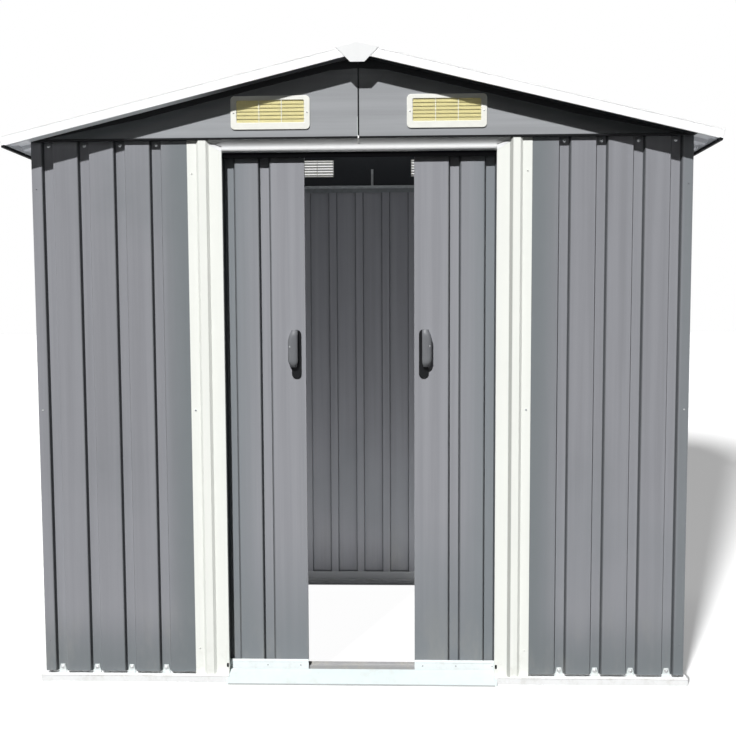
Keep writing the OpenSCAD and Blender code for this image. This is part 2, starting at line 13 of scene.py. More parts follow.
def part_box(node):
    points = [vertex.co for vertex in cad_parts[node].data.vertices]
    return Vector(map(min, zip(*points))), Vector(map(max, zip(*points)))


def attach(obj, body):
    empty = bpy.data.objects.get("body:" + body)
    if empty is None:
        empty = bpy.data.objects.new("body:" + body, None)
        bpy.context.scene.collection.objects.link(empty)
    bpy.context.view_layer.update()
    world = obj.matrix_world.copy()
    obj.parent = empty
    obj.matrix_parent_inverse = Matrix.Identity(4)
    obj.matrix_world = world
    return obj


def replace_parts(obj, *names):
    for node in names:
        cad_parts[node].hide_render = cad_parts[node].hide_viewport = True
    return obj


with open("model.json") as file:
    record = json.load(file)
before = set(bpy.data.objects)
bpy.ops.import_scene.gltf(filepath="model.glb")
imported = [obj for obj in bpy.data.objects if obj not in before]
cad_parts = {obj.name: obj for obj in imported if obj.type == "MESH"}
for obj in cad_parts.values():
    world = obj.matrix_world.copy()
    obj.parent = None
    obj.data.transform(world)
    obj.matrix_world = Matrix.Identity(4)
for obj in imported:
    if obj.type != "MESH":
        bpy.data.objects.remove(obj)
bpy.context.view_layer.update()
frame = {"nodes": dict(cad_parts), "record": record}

NODES = frame["nodes"]
MM = 0.001
SHED = "shed"
SIDE_SIGNS = (("left", -1), ("right", 1))

# Measures that repeat part.scad's
PITCH, SIDE_PITCH, RIB = 0.105, 0.106, 0.011        # rib pitch in front and behind, on the sides; rib depth
WALL_FACE, SIDE_FACE = 0.600, 0.9488                # how far out the walls' outer faces stand
FIRST_GROOVE = 0.58725                              # the front walls' groove beside the jamb
DOOR_GROOVES = (0.27575, 0.379, 0.48225)            # the doors' grooves, where the doors stand at rest
JAMB_FACE, JAMB_SCREWS = 0.6012, 0.4825
GABLE_FACE = 0.608
ROOF_APEX, ROOF_SLOPE = 1.842, 0.24193              # the gables' top at the middle, and its fall per metre
SEAL_OUT = 0.6105                                   # the foam strips' outer face


# ---------------------------------------------------------------- camera

def add_camera():
    """The camera stands in front of the doorway, a little right of the middle, at chest height."""
    place = Vector((0.1404, -3.7315, 1.0895))
    yaw, pitch, roll = 0.0373, -0.0836, 0.0045
    lens, sensor, shift_up, far = 52.67, 36.0, 0.0514, 100.0
    turn = Matrix.Rotation(yaw, 3, "Z") @ Matrix.Rotation(pitch, 3, "X") @ Matrix.Rotation(roll, 3, "Y")
    right, forward, up = turn.col[0], turn.col[1], turn.col[2]
    data = bpy.data.cameras.new("camera")
    data.lens = lens
    data.sensor_width = sensor
    data.shift_y = shift_up
    data.clip_end = far
    obj = bpy.data.objects.new("camera", data)
    bpy.context.scene.collection.objects.link(obj)
    matrix = Matrix.Identity(4)
    for row in range(3):
        matrix[row][0] = right[row]
        matrix[row][1] = up[row]
        matrix[row][2] = -forward[row]
    matrix.translation = place
    obj.matrix_world = matrix
    bpy.context.scene.camera = obj


add_camera()


# ---------------------------------------------------------------- node materials

def srgb(r, g, b):
    """A colour given as 0 to 255 screen values, as linear light."""
    def linear(v):
        v = v / 255.0
        return v / 12.92 if v <= 0.04045 else ((v + 0.055) / 1.055) ** 2.4
    return (linear(r), linear(g), linear(b), 1.0)


class Finish:
    """A small builder for node materials; every pattern runs in the pieces' own coordinates, in metres."""

    def __init__(self, name):
        self.mat = bpy.data.materials.new(name)
        self.mat.use_nodes = True
        self.tree = self.mat.node_tree
        self.tree.nodes.clear()
        self.out = self.tree.nodes.new("ShaderNodeOutputMaterial")
        self.coords = self.tree.nodes.new("ShaderNodeTexCoord").outputs["Object"]

    def node(self, kind, **inputs):
        """A node with its inputs set or linked."""
        n = self.tree.nodes.new(kind)
        for key, value in inputs.items():
            self.put(n.inputs[key.replace("_", " ")], value)
        return n

    def put(self, socket, value):
        if isinstance(value, bpy.types.NodeSocket):
            self.tree.links.new(value, socket)
        else:
            socket.default_value = value

    def stretched(self, scale):
        """The coordinates scaled along each axis, for streaks."""
        m = self.node("ShaderNodeMapping", Vector=self.coords)
        m.inputs["Scale"].default_value = scale
        return m.outputs[0]

    def true_normal(self):
        return self.tree.nodes.new("ShaderNodeNewGeometry").outputs["Normal"]

    def noise(self, scale, detail=3.0, rough=0.5, vector=None):
        n = self.node("ShaderNodeTexNoise", Vector=vector or self.coords, Scale=scale, Detail=detail)
        n.inputs["Roughness"].default_value = rough
        return n.outputs["Fac"]

    def ramp(self, value, low, high, to_low=0.0, to_high=1.0, smooth=True):
        """The value moved from the range low to high into another, and held inside it."""
        n = self.node("ShaderNodeMapRange", Value=value)
        n.interpolation_type = "SMOOTHSTEP" if smooth else "LINEAR"
        n.inputs["From Min"].default_value = low
        n.inputs["From Max"].default_value = high
        n.inputs["To Min"].default_value = to_low
        n.inputs["To Max"].default_value = to_high
        return n.outputs["Result"]

    def band(self, value, low, high, outer, inner):
        """1 between low and high, 0 outside, with edges that reach outer past and inner into the band."""
        rise = self.ramp(value, low - outer, low + inner)
        return self.math("MULTIPLY", rise, self.ramp(value, high + outer, high - inner))

    def math(self, op, a, b=0.0, c=0.0):
        n = self.tree.nodes.new("ShaderNodeMath")
        n.operation = op
        for socket, value in zip(n.inputs, (a, b, c)):
            self.put(socket, value)
        return n.outputs[0]

    def mix(self, factor, a, b, blend="MIX"):
        n = self.tree.nodes.new("ShaderNodeMix")
        n.data_type = "RGBA"
        n.blend_type = blend
        self.put(n.inputs["Factor"], factor)
        for socket in n.inputs:
            if socket.type == "RGBA":
                self.put(socket, a if socket.name == "A" else b)
        return next(s for s in n.outputs if s.type == "RGBA")

    def split(self, vector=None):
        return self.node("ShaderNodeSeparateXYZ", Vector=vector or self.coords).outputs

    def bump(self, height, distance, strength=1.0, normal=None):
        n = self.node("ShaderNodeBump", Height=height)
        n.inputs["Distance"].default_value = distance
        n.inputs["Strength"].default_value = strength
        if normal is not None:
            self.put(n.inputs["Normal"], normal)
        return n.outputs["Normal"]

    def surface(self, color, roughness, normal=None, metallic=0.0, specular=0.5, coat=0.0, coat_rough=0.1):
        s = self.tree.nodes.new("ShaderNodeBsdfPrincipled")
        self.put(s.inputs["Base Color"], color)
        self.put(s.inputs["Roughness"], roughness)
        s.inputs["Metallic"].default_value = metallic
        s.inputs["Specular IOR Level"].default_value = specular
        s.inputs["Coat Weight"].default_value = coat
        s.inputs["Coat Roughness"].default_value = coat_rough
        if normal is not None:
            self.put(s.inputs["Normal"], normal)
        self.tree.links.new(s.outputs[0], self.out.inputs["Surface"])
        return self.mat


def shades(tone, *factors):
    """The same colour a little lighter or darker, one for each factor."""
    base = srgb(*tone)
    return [tuple(min(1.0, c * k) for c in base[:3]) + (1.0,) for k in factors]


def worn_edge(f, radius, amount):
    """A rounded normal for the sharp folds, and a mask of the folds themselves."""
    bevel = f.node("ShaderNodeBevel")
    bevel.samples = 4
    bevel.inputs["Radius"].default_value = radius
    flat, fold = 0.995, 0.93
    dot = f.tree.nodes.new("ShaderNodeVectorMath")
    dot.operation = "DOT_PRODUCT"
    f.put(dot.inputs[0], bevel.outputs[0])
    f.put(dot.inputs[1], f.true_normal())
    return bevel.outputs[0], f.ramp(dot.outputs["Value"], flat, fold, 0.0, amount)


def shaded_folds(f, amount):
    """A mask of the ribs' sloping sides, where shade is painted."""
    steep = 0.3
    across, along = f.split(f.true_normal())[0:2]
    lean = f.math("MULTIPLY", f.math("ABSOLUTE", across), f.math("ABSOLUTE", along))
    return f.ramp(lean, steep * 0.6, steep, 0.0, amount)


def stripes(f, bands, amount):
    """A mask of upright bands, each given by its inner and outer distance from the middle."""
    soft = 0.0008
    across = f.math("ABSOLUTE", f.split()[0])
    total = 0.0
    for near, far in bands:
        total = f.math("MAXIMUM", total, f.band(across, near, far, soft, soft))
    return f.math("MULTIPLY", total, amount)


def outer_face(f):
    """0 on the inner faces of the front and back sheets, 1 elsewhere."""
    return f.ramp(f.math("MULTIPLY", f.split(f.true_normal())[1], f.split()[1]), -0.3, -0.15)


def coated_sheet(name, tone, slate, grain=(38.0, 38.0, 0.9), dust=0.35, inside=None, fold_shade=0.25,
                 shine=0.25, foot=0.24, lift=0.0, faded=None, shade_lines=None, shaded=None):
    """Roll-formed steel with a baked coat: streaks along the grain, slate clouds, darker towards its foot.

    foot is the height where it starts to darken, lift how much paler it is at knee height, fold_shade the
    painted shade on the ribs' sloping sides, and dust the dust near the ground. faded is a mask of the slate
    tone, shaded a mask of painted shade under the roof line, and inside a mask of the dark backing coat,
    which is also painted shade under the roof; shade_lines are bands of painted shade beside the ribs.
    """
    knee_top, knee_foot, ground = (0.68, 0.46), (0.10, 0.22), 0.04
    dust_tone, backing_and_shade = srgb(172, 170, 162), srgb(74, 76, 79)
    # The painted shade colour, for the shade under the roof line and for the bands beside the ribs.
    grime_and_shade = shades(slate, 0.30)[0]
    rough = 0.42
    f = Finish(name)
    dark, light = shades(tone, 0.93, 1.06)
    height = f.split()[2]
    streak = f.noise(1.0, 3.0, 0.6, f.stretched(grain))
    color = f.mix(f.ramp(streak, 0.3, 0.7), dark, light)
    cloud = f.noise(1.3, 4.0, 0.55)
    color = f.mix(f.ramp(cloud, 0.50, 0.74, 0.0, 0.55), color, srgb(*slate))
    if lift:
        knee = f.math("MULTIPLY", f.ramp(height, *knee_top), f.ramp(height, *knee_foot))
        color = f.mix(f.math("MULTIPLY", knee, lift), color, shades(tone, 1.2)[0])
    if faded is not None:
        color = f.mix(faded(f), color, srgb(*slate))
    footing = f.math("MULTIPLY", f.ramp(height, foot, ground, 0.0, 0.85), outer_face(f))
    color = f.mix(footing, color, shades(slate, 0.97)[0])
    # Painted shade under the roof line.
    if shaded is not None:
        color = f.mix(shaded(f), color, grime_and_shade)
    # Painted shade on the ribs' sloping sides.
    color = f.mix(shaded_folds(f, fold_shade), color, shades(slate, 0.32)[0])
    # Bands of painted shade beside the ribs, on the front walls and the doors only.
    if shade_lines is not None:
        front = f.ramp(f.split()[1], -0.45, -0.55, 0.0, 0.72)
        color = f.mix(stripes(f, shade_lines, front), color, grime_and_shade)
    speck = f.noise(900.0, 2.0, 0.7)
    color = f.mix(f.ramp(speck, 0.62, 0.8, 0.0, 0.25), color, shades(tone, 1.5)[0])
    low = f.ramp(height, 0.30, 0.03)
    smudge = f.noise(9.0, 5.0, 0.65, f.stretched((1.0, 1.0, 0.35)))
    color = f.mix(f.math("MULTIPLY", low, f.ramp(smudge, 0.45, 0.75, 0.0, dust)), color, dust_tone)
    rounded, edge = worn_edge(f, 1.2 * MM, 0.35)
    color = f.mix(edge, color, shades(tone, 1.45)[0])
    # The dark backing coat on the inner faces, which is also painted shade under the roof.
    if inside is not None:
        color = f.mix(inside(f), color, backing_and_shade)
    roughness = f.ramp(f.noise(24.0, 4.0, 0.6), 0.3, 0.7, rough - 0.06, rough + 0.08)
    peel = f.bump(f.noise(420.0, 2.0, 0.5), 0.12 * MM, 0.5, rounded)
    wave = f.bump(f.noise(2.6, 2.0, 0.4, f.stretched((1.0, 1.0, 0.45))), 4 * MM, 0.35, peel)
    return f.surface(color, roughness, wave, specular=shine, coat=shine / 5, coat_rough=0.3)


def white_coat(name, tone, grime_and_shade=0.3, sides=(), shade_near=None, inner=None, painted_top_shade=None):
    """White coated steel trim, with faint grime in clouds and near the ground.

    sides are upright bands (from x, to x, shade) of painted shade on the jambs' ribs. shade_near is the
    distance from the middle within which a soffit is painted black, as shade; inner is a darker tone painted
    on the rear rail's inner face, as the shade inside the shed; and painted_top_shade gives the two heights
    and the amount of the painted shade towards the top of the doorway's cover, under the gable's lip.
    """
    dust_tone, edge_tone, black = srgb(186, 182, 170), srgb(196, 196, 190), srgb(26, 27, 29)
    rough = 0.38
    f = Finish(name)
    across, along, height = f.split()[0:3]
    cloud = f.noise(5.0, 5.0, 0.6)
    streak = f.noise(1.0, 3.0, 0.6, f.stretched((45.0, 45.0, 1.4)))
    clouded = f.ramp(f.math("MULTIPLY", cloud, streak), 0.2, 0.36, 0.0, 0.3)
    color = f.mix(clouded, srgb(*tone), shades(tone, 0.93)[0])
    low = f.ramp(height, 0.16, 0.01)
    smudge = f.noise(26.0, 5.0, 0.7)
    color = f.mix(f.math("MULTIPLY", low, f.ramp(smudge, 0.45, 0.75, 0.0, grime_and_shade)), color, dust_tone)
    # Painted shade: a soffit turns black towards the middle.
    if shade_near is not None:
        color = f.mix(f.ramp(f.math("ABSOLUTE", across), shade_near, shade_near - 0.3), color, black)
    # Painted shade: a darker tone on the rear rail's inner face, inside the shed.
    if inner is not None:
        color = f.mix(f.ramp(along, 0.5895, 0.5885), color, srgb(*inner))
    # Painted shade towards the top of the doorway's cover, under the gable's lip.
    if painted_top_shade is not None:
        bottom, top, amount = painted_top_shade
        color = f.mix(f.ramp(height, bottom, top, 0.0, amount, smooth=False), color, shades(tone, 0.4)[0])
    # Painted shade on the jamb ribs' sides.
    for near, far, shade in sides:
        color = f.mix(f.band(across, near, far, 1 * MM, 2 * MM), color, shades(tone, shade)[0])
    rounded, edge = worn_edge(f, 1 * MM, 0.35)
    color = f.mix(edge, color, edge_tone)
    roughness = f.ramp(f.noise(30.0, 3.0, 0.5), 0.3, 0.7, rough - 0.05, rough + 0.07)
    peel = f.bump(f.noise(500.0, 2.0, 0.5), 0.1 * MM, 0.4, rounded)
    wave = f.bump(f.noise(4.0, 2.0, 0.4), 3 * MM, 0.25, peel)
    return f.surface(color, roughness, wave, specular=0.25, coat=0.05, coat_rough=0.3)


def zinc(name, tone=(178, 182, 184), rough=0.45, lit=None, dim=None):
    """Galvanised steel with its spangle; dim is a darker tone painted outside the lit mask, as shade."""
    spangles_per_metre = 90.0
    f = Finish(name)
    cells = f.node("ShaderNodeTexVoronoi", Vector=f.coords, Scale=spangles_per_metre)
    shade = f.node("ShaderNodeSeparateColor", Color=cells.outputs["Color"]).outputs[0]
    dark, light = shades(tone, 0.84, 1.08)
    color = f.mix(shade, dark, light)
    color = f.mix(f.ramp(f.noise(12.0, 5.0, 0.7), 0.5, 0.8, 0.0, 0.3), color, shades(tone, 0.66)[0])
    # Painted light and shade: the lit mask keeps the tone, the rest takes the darker dim tone.
    if lit is not None:
        color = f.mix(lit(f), f.mix(shade, *shades(dim, 0.88, 1.1)), color)
    roughness = f.ramp(shade, 0.0, 1.0, rough - 0.08, rough + 0.1)
    normal = f.bump(f.noise(300.0, 2.0, 0.5), 0.15 * MM, 0.5)
    return f.surface(color, roughness, normal, metallic=0.55)


def moulded(name, tone, rough=0.45, through=0.0, shine=0.3):
    """Moulded plastic with a fine grain; through lets light from behind show, and the inner face is painted
    paler, as light from behind.
    """
    grain, backlit_tone, light_tone = 1560.0, srgb(212, 214, 218), srgb(250, 250, 250)
    f = Finish(name)
    base, dark = shades(tone, 1.0, 0.86)
    color = f.mix(f.ramp(f.noise(40.0, 4.0, 0.6), 0.35, 0.7, 0.0, 0.35), base, dark)
    roughness = f.ramp(f.noise(120.0, 2.0, 0.5), 0.3, 0.7, rough - 0.05, rough + 0.1)
    rounded, edge = worn_edge(f, 0.7 * MM, 0.2)
    color = f.mix(edge, color, shades(tone, 1.5)[0])
    # Painted light: the inner faces are paler, as if lit from behind.
    if through:
        facing = f.math("MULTIPLY", f.split(f.true_normal())[1], f.split()[1])
        color = f.mix(f.ramp(facing, 0.02, -0.02), color, backlit_tone)
    normal = f.bump(f.noise(grain, 2.0, 0.6), 0.1 * MM, 0.4, rounded)
    mat = f.surface(color, roughness, normal, specular=shine)
    if through:
        glow = f.tree.nodes.new("ShaderNodeBsdfTranslucent")
        f.put(glow.inputs["Color"], f.mix(0.6, color, light_tone))
        blend = f.tree.nodes.new("ShaderNodeMixShader")
        blend.inputs[0].default_value = through
        solid = f.out.inputs["Surface"].links[0].from_socket
        f.tree.links.new(solid, blend.inputs[1])
        f.tree.links.new(glow.outputs[0], blend.inputs[2])
        f.tree.links.new(blend.outputs[0], f.out.inputs["Surface"])
    return mat


def gable_inside(f):
    """1 on the gables' inner faces, which carry the dark backing coat, also painted shade under the roof."""
    depth = f.math("ABSOLUTE", f.split()[1])
    return f.ramp(depth, GABLE_FACE - 0.6 * MM, GABLE_FACE - 0.8 * MM)


def gable_shade(f):
    """Painted shade under the roof line on the gables, darker towards the eaves than near the ridge."""
    across, along, up = f.split()[0:3]
    line = f.math("MULTIPLY_ADD", f.math("ABSOLUTE", across), -ROOF_SLOPE, ROOF_APEX)
    amount = f.ramp(f.math("ABSOLUTE", across), 0.1, 0.7, 0.42, 0.85)
    return f.math("MULTIPLY", f.ramp(f.math("SUBTRACT", line, up), 0.086, 0.040), amount)


def roof_underside(f):
    """1 under the roof, as far out as the walls, where the sheets carry the dark backing coat, also painted
    shade under the roof.
    """
    across = f.math("ABSOLUTE", f.split()[0])
    down = f.ramp(f.split(f.true_normal())[2], -0.05, -0.1)
    return f.math("MULTIPLY", down, f.ramp(across, 0.952, 0.948))


def wall_fade(f):
    """1 where the front wall's tone falls off: beside the door jambs, and on the right corner's flat."""
    across, along = f.split()[0:2]
    jamb_side = f.ramp(f.math("ABSOLUTE", across), 0.600, 0.505, 0.0, 0.9)
    corner = f.ramp(across, 0.915, 0.930, 0.0, 0.7)
    return f.math("MULTIPLY", f.math("MAXIMUM", jamb_side, corner), f.ramp(along, -0.45, -0.55))


def door_fade(f):
    """1 towards the doors' outer edges, where their tone falls off."""
    return f.ramp(f.math("ABSOLUTE", f.split()[0]), 0.265, 0.400, 0.0, 0.9)


def channel_top(f):
    """1 on the top of the channels over the walls, painted in the bright zinc as lit; their faces below take
    the dim tone, as painted shade.
    """
    return f.ramp(f.split()[2], 1.5905, 1.5925)


# Bands of painted shade beside the ribs of the front walls and the doors, measured from each groove's middle
SIDE_NEAR, SIDE_FAR = 0.0122, 0.0190                # a rib's sloping side, from its groove's middle
WALL_SHADE_LINES = [(FIRST_GROOVE + k * PITCH + SIDE_NEAR, FIRST_GROOVE + k * PITCH + SIDE_FAR) for k in range(4)]
DOOR_SHADE_LINES = ([(c + SIDE_NEAR, c + SIDE_FAR) for c in DOOR_GROOVES]
              + [(c - SIDE_FAR, c - SIDE_NEAR) for c in DOOR_GROOVES])
# Painted shade on the jamb ribs' sides: from x, to x, and the shade.
JAMB_SIDES = ((-0.4689, -0.4612, 0.78), (0.4310, 0.4412, 0.46))     # the jamb ribs' shaded sides
# Painted shade towards the top of the doorway's cover: lower and upper height, and amount.
COVER_SHADE = (1.569, 1.594, 0.72)

SHEET = coated_sheet("wall_sheet", (143, 144, 149), (119, 125, 128), fold_shade=0.4, lift=0.25, faded=wall_fade,
                     shade_lines=WALL_SHADE_LINES)
DOOR = coated_sheet("door_sheet", (153, 154, 159), (130, 136, 140), fold_shade=0.6, shine=0.12, foot=0.50,
                    faded=door_fade, shade_lines=DOOR_SHADE_LINES)
GABLE = coated_sheet("gable_sheet", (164, 166, 169), (150, 158, 161), grain=(1.4, 60.0, 60.0), dust=0.0,
                     inside=gable_inside, shine=0.06, shaded=gable_shade)
ROOF = coated_sheet("roof_sheet", (150, 152, 156), (128, 137, 140), grain=(0.9, 38.0, 38.0), dust=0.0,
                    inside=roof_underside)
WHITE = white_coat("white_trim", (247, 248, 246))
JAMB = white_coat("jamb_trim", (248, 250, 244), sides=JAMB_SIDES)
HEADER = white_coat("header_trim", (254, 255, 255), grime_and_shade=0.1, painted_top_shade=COVER_SHADE)
EDGING = white_coat("roof_edging", (248, 249, 249), grime_and_shade=0.1)
RAIL = white_coat("base_rail", (250, 251, 251))
SILL = white_coat("threshold", (206, 216, 217))
STRIP = white_coat("door_strip", (240, 247, 248))
# The rear rail's inner face is painted darker, as shade inside the shed.
BACK_RAIL = white_coat("back_rail", (248, 249, 249), inner=(168, 170, 172))
CLIP = white_coat("clip_white", (214, 221, 221), grime_and_shade=0.5)
BEAD = white_coat("rail_bead", (248, 248, 248), grime_and_shade=0.6)
RUBBER = moulded("grey_rubber", (168, 172, 172), rough=0.6)
SOFFIT = white_coat("soffit_coat", (118, 121, 123), shade_near=0.62)
ZINC = zinc("track_steel")
CHANNEL = zinc("top_channel_steel", lit=channel_top, dim=(128, 132, 134))
TRACK = white_coat("bottom_track_steel", (166, 166, 167), grime_and_shade=0.8)
SCREW = zinc("screw_zinc", (206, 208, 208), 0.34)
VENT = moulded("vent_plastic", (246, 246, 238))
LOUVRE = moulded("louvre_plastic", (241, 231, 168), through=0.4)
GLIDE = moulded("glide_plastic", (32, 32, 34))
GRIP = moulded("handle_plastic", (112, 114, 117))
BLACK = moulded("black_plastic", (22, 23, 25), rough=0.55, shine=0.12)
# Near-black and matte, as painted shade under the header.
BRUSH = moulded("brush_seal", (8, 8, 10), rough=0.7, shine=0.03)

FINISHES = {
    "wall_sheet": SHEET, "door_sheet": DOOR, "roof_sheet": ROOF, "white_trim": WHITE, "base_rail": RAIL,
    "track_steel": ZINC, "vent_plastic": VENT, "glide_plastic": GLIDE, "handle_plastic": GRIP,
}
OWN_FINISHES = (
    ("gable_", GABLE), ("threshold", SILL), ("door_jamb", JAMB), ("top_channel", CHANNEL),
    ("door_bottom_track", TRACK), ("door_left_rails", STRIP), ("door_right_rails", STRIP),
    ("base_rail_back", BACK_RAIL), ("fascia", EDGING), ("eave_trim", EDGING), ("ridge_cap", EDGING),
    ("ridge_end", EDGING),
)


def dress_frame():
    """Gives every carried-over node the finish of its slot, or its own from OWN_FINISHES."""
    for part in frame["record"]["subparts"]:
        node = part["node"]
        finish = FINISHES[part["material_slot"]]
        for start, own in OWN_FINISHES:
            if node.startswith(start):
                finish = own
        NODES[node].data.materials.clear()
        NODES[node].data.materials.append(finish)


dress_frame()


# ---------------------------------------------------------------- mesh tools

AXES = {
    "front": Matrix(((1, 0, 0), (0, 0, -1), (0, 1, 0))),
    "back": Matrix(((-1, 0, 0), (0, 0, 1), (0, 1, 0))),
    "left": Matrix(((0, 0, -1), (-1, 0, 0), (0, 1, 0))),
    "right": Matrix(((0, 0, 1), (1, 0, 0), (0, 1, 0))),
}


class Shape:
    """A mesh drawn in one side's own directions: a to the right seen from outside, b up, c outward."""

    def __init__(self, facing, origin=(0.0, 0.0, 0.0)):
        self.bm = bmesh.new()
        self.axes = AXES[facing]
        self.origin = Vector(origin)
        self.finish_at = 0

    def ring(self, points):
        """New corners at the (a, b, c) points."""
        return [self.bm.verts.new(self.origin + self.axes @ Vector(p)) for p in points]

    def face(self, verts):
        self.bm.faces.new(verts).material_index = self.finish_at

    def skin(self, rings, caps=True):
        """Faces between rings of equal length, with a cap at each end."""
        count = len(rings[0])
        for one, two in zip(rings, rings[1:]):
            for i in range(count):
                j = (i + 1) % count
                self.face((one[i], one[j], two[j], two[i]))
        if caps:
            self.face(rings[0][::-1])
            self.face(rings[-1])

    def plate(self, outline, c0, c1, edge=0.0):
        """A plate with the (a, b) outline from depth c0 out to c1, its outer edge drawn in by edge."""
        ma = sum(p[0] for p in outline) / len(outline)
        mb = sum(p[1] for p in outline) / len(outline)
        reach = max(math.hypot(p[0] - ma, p[1] - mb) for p in outline)
        k = 1.0 - edge / reach
        inner = [(ma + (a - ma) * k, mb + (b - mb) * k, c1) for a, b in outline]
        rings = [self.ring([(a, b, c) for a, b in outline]) for c in (c0, c1 - edge)]
        if edge:
            rings.append(self.ring(inner))
        self.skin(rings)

    def bar(self, section, a0, a1):
        """A bar whose (b, c) section runs from a0 to a1."""
        self.skin([self.ring([(a, b, c) for b, c in section]) for a in (a0, a1)])

    def turned(self, a, b, c, profile, steps=14):
        """A turned shape standing outward at (a, b, c); profile is pairs of radius and height."""
        rings = []
        for radius, height in profile:
            turns = [2.0 * math.pi * i / steps for i in range(steps)]
            rings.append(self.ring([(a + radius * math.cos(t), b + radius * math.sin(t), c + height)
                                    for t in turns]))
        self.skin(rings)

    def screw(self, a, b, c, size=1.0, washer=True):
        """A pan head with a dark cross, on its washer; its measures are in mm at size 1."""
        s = size * MM
        base = 1.0 * s if washer else 0.0
        if washer:
            self.turned(a, b, c, [(6.4 * s, 0), (6.4 * s, 0.6 * s), (5.8 * s, base), (3.0 * s, base)])
        head = ((4.1, 0), (4.1, 1.0), (3.5, 2.0), (2.2, 2.6), (0.8, 2.8))
        self.turned(a, b, c + base, [(radius * s, height * s) for radius, height in head])
        self.finish_at = 1
        top = c + base + 2.72 * s
        for wide, tall in ((2.2 * s, 0.45 * s), (0.45 * s, 2.2 * s)):
            corners = ((-1, -1), (1, -1), (1, 1), (-1, 1))
            self.plate([(a + i * wide, b + j * tall) for i, j in corners], top - 0.5 * s, top + 0.12 * s)
        self.finish_at = 0

    def piece(self, name, body, slot, *finishes, smooth=35.0):
        """Turns the mesh into a named piece that rides on a body."""
        bmesh.ops.recalc_face_normals(self.bm, faces=self.bm.faces)
        mesh = bpy.data.meshes.new(name)
        self.bm.to_mesh(mesh)
        self.bm.free()
        for finish in finishes:
            mesh.materials.append(finish)
        mesh.shade_smooth()
        mesh.set_sharp_from_angle(angle=math.radians(smooth))
        obj = bpy.data.objects.new(name, mesh)
        bpy.context.scene.collection.objects.link(obj)
        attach(obj, body)
        return obj


def rounded_outline(a, b, wide, tall, radius, steps=6):
    """A rectangle with round corners, centred on (a, b)."""
    points = []
    for k, (sa, sb) in enumerate(((1, 1), (-1, 1), (-1, -1), (1, -1))):
        ca, cb = a + sa * (wide / 2 - radius), b + sb * (tall / 2 - radius)
        for i in range(steps + 1):
            t = math.radians(90.0 * k + 90.0 * i / steps)
            points.append((ca + radius * math.cos(t), cb + radius * math.sin(t)))
    return points


# ---------------------------------------------------------------- walls: screws, clips, seals

# For each wall the middles of its grooves, how far out its face is, and how far out its corner screws are
SIDES = {
    "front": ([s * (FIRST_GROOVE + k * PITCH) for s in (-1, 1) for k in range(4)], WALL_FACE, 0.9375),
    "back": ([s * (PITCH / 2 + k * PITCH) for s in (-1, 1) for k in range(9)], WALL_FACE, 0.9375),
    "left": ([(k - 5) * SIDE_PITCH for k in range(11)], SIDE_FACE, 0.5750),
    "right": ([(k - 5) * SIDE_PITCH for k in range(11)], SIDE_FACE, 0.5750),
}


def add_wall_fixings():
    """In every groove a white clip with its screw over the sheet's foot, and a screw near the top."""
    ledge, clip_top, clip_thick, bend = 0.0203, 0.0455, 0.0030, 0.006
    screw_low, screw_mid, screw_high, painted_at = 0.0370, 0.815, 1.5835, (0.12, 1.46)
    clip_outline = ((-0.0122, ledge), (0.0122, ledge), (0.0112, ledge + bend), (0.0068, clip_top),
                    (-0.0068, clip_top), (-0.0112, ledge + bend))
    for facing, (grooves, face, corner) in SIDES.items():
        floor = face - RIB
        clips, screws, upper, painted = (Shape(facing) for _ in range(4))
        for a in grooves:
            clips.plate([(a + da, b) for da, b in clip_outline], floor, floor + clip_thick, 0.8 * MM)
            screws.screw(a, screw_low, floor + clip_thick, 1.0)
            upper.screw(a, screw_high, floor, 0.75)
        for a in (-corner, corner):
            screws.screw(a, screw_mid, face, 0.55, washer=False)
            for b in painted_at:
                painted.screw(a, b, face, 0.5, washer=False)
        clips.piece(f"{facing}_wall_clips", SHED, "base_rail", CLIP)
        screws.piece(f"{facing}_wall_screws", SHED, "track_steel", SCREW, ZINC)
        # The screws near the top take the darker zinc, partly a duller finish and partly painted shade under
        # the gables.
        upper.piece(f"{facing}_upper_screws", SHED, "track_steel", ZINC, BLACK)
        painted.piece(f"{facing}_corner_screws", SHED, "wall_sheet", SHEET, SHEET)


def add_gable_seals():
    """Black foam strip under each gable's lower lip, which also paints the line of shade under the lip."""
    low, high, back, out = 1.5937, 1.6001, 0.6002, SEAL_OUT
    section = [(low, back), (low, out - 1 * MM), (low + 1 * MM, out), (high - 0.5 * MM, out), (high, back)]
    inner, outer = 0.0022, 0.9485
    for facing in ("front", "back"):
        for side, (a0, a1) in (("left", (-outer, -inner)), ("right", (inner, outer))):
            seal = Shape(facing)
            seal.bar(section, a0, a1)
            seal.piece(f"gable_seal_{facing}_{side}", SHED, "glide_plastic", BLACK)


def add_rake_seals():
    """Black foam strip along both slopes, between each gable and the roof sheets, deeper at the ridge; it
    also paints the band of shade under the roof.
    """
    out, back, lowest, bevel = SEAL_OUT, 0.6082, 1.6012, 0.8 * MM
    # How far from the middle, and how deep the strip is there
    depths = ((0.0006, 0.052), (0.030, 0.047), (0.080, 0.038), (0.30, 0.036), (0.62, 0.036), (0.90, 0.036),
              (0.947, 0.036))
    for facing in ("front", "back"):
        for side, sign in SIDE_SIGNS:
            seal = Shape(facing)
            rings = []
            for run, deep in depths:
                top = ROOF_APEX - run * ROOF_SLOPE
                low = max(top - deep, lowest)
                section = ((low, back), (low, out - bevel), (low + bevel, out), (top, out), (top, back))
                rings.append(seal.ring([(sign * run, b, c) for b, c in section]))
            seal.skin(rings)
            seal.piece(f"rake_seal_{facing}_{side}", SHED, "glide_plastic", BLACK)


